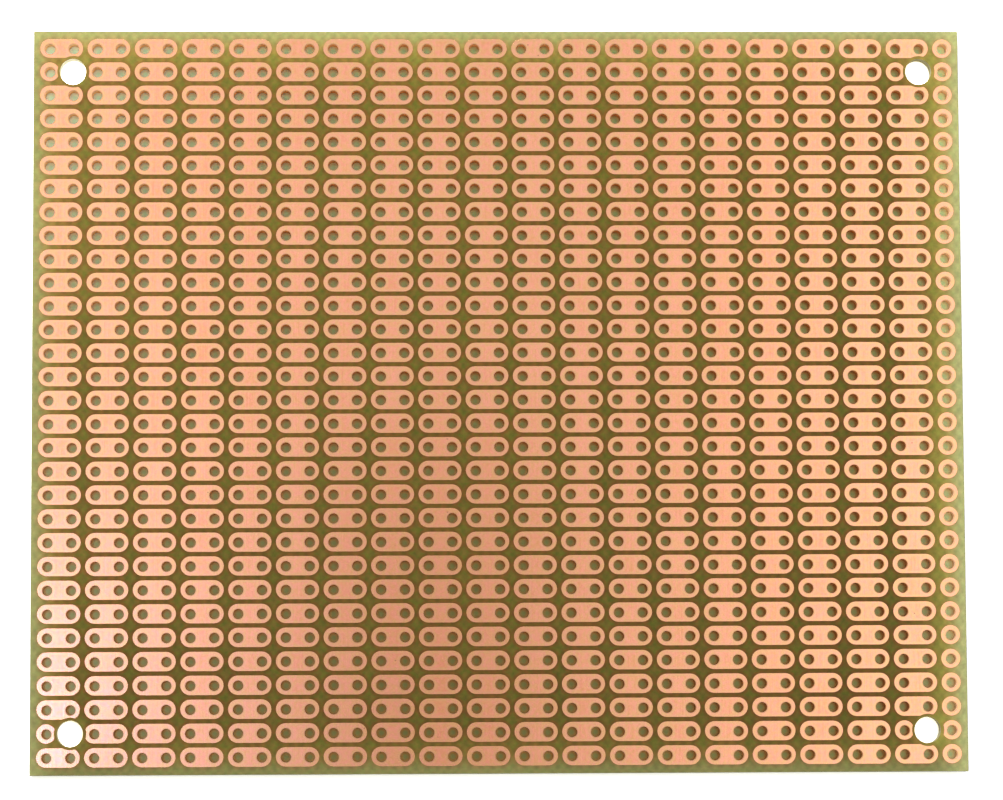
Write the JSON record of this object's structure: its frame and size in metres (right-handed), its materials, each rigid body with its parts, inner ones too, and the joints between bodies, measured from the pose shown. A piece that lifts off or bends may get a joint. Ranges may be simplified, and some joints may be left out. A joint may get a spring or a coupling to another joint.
{
  "type": "prototype board",
  "caption": "Bare single-sided prototype board: drilled glass-fibre laminate with a grid of etched copper islands and screw holes near the corners.",
  "frame": {"origin": "centre of the underside, the bare laminate face that the board rests on", "axes": "+X along the board's length, towards the column of one-hole islands; +Y along its width; +Z out of the copper side"},
  "size_m": [0.1, 0.08, 0.0016],
  "materials": {
    "laminate": "etched glass-fibre epoxy laminate, olive, slightly translucent",
    "copper": "bare copper foil, fine scrubbed grain"
  },
  "bodies": {
    "root": {"laminate": "laminate", "pad_row_01": "copper", "pad_row_02": "copper", "pad_row_03": "copper", "pad_row_04": "copper", "pad_row_05": "copper", "pad_row_06": "copper", "pad_row_07": "copper", "pad_row_08": "copper", "pad_row_09": "copper", "pad_row_10": "copper", "pad_row_11": "copper", "pad_row_12": "copper", "pad_row_13": "copper", "pad_row_14": "copper", "pad_row_15": "copper", "pad_row_16": "copper", "pad_row_17": "copper", "pad_row_18": "copper", "pad_row_19": "copper", "pad_row_20": "copper", "pad_row_21": "copper", "pad_row_22": "copper", "pad_row_23": "copper", "pad_row_24": "copper", "pad_row_25": "copper", "pad_row_26": "copper", "pad_row_27": "copper", "pad_row_28": "copper", "pad_row_29": "copper", "pad_row_30": "copper", "pad_row_31": "copper"}
  },
  "joints": []
}
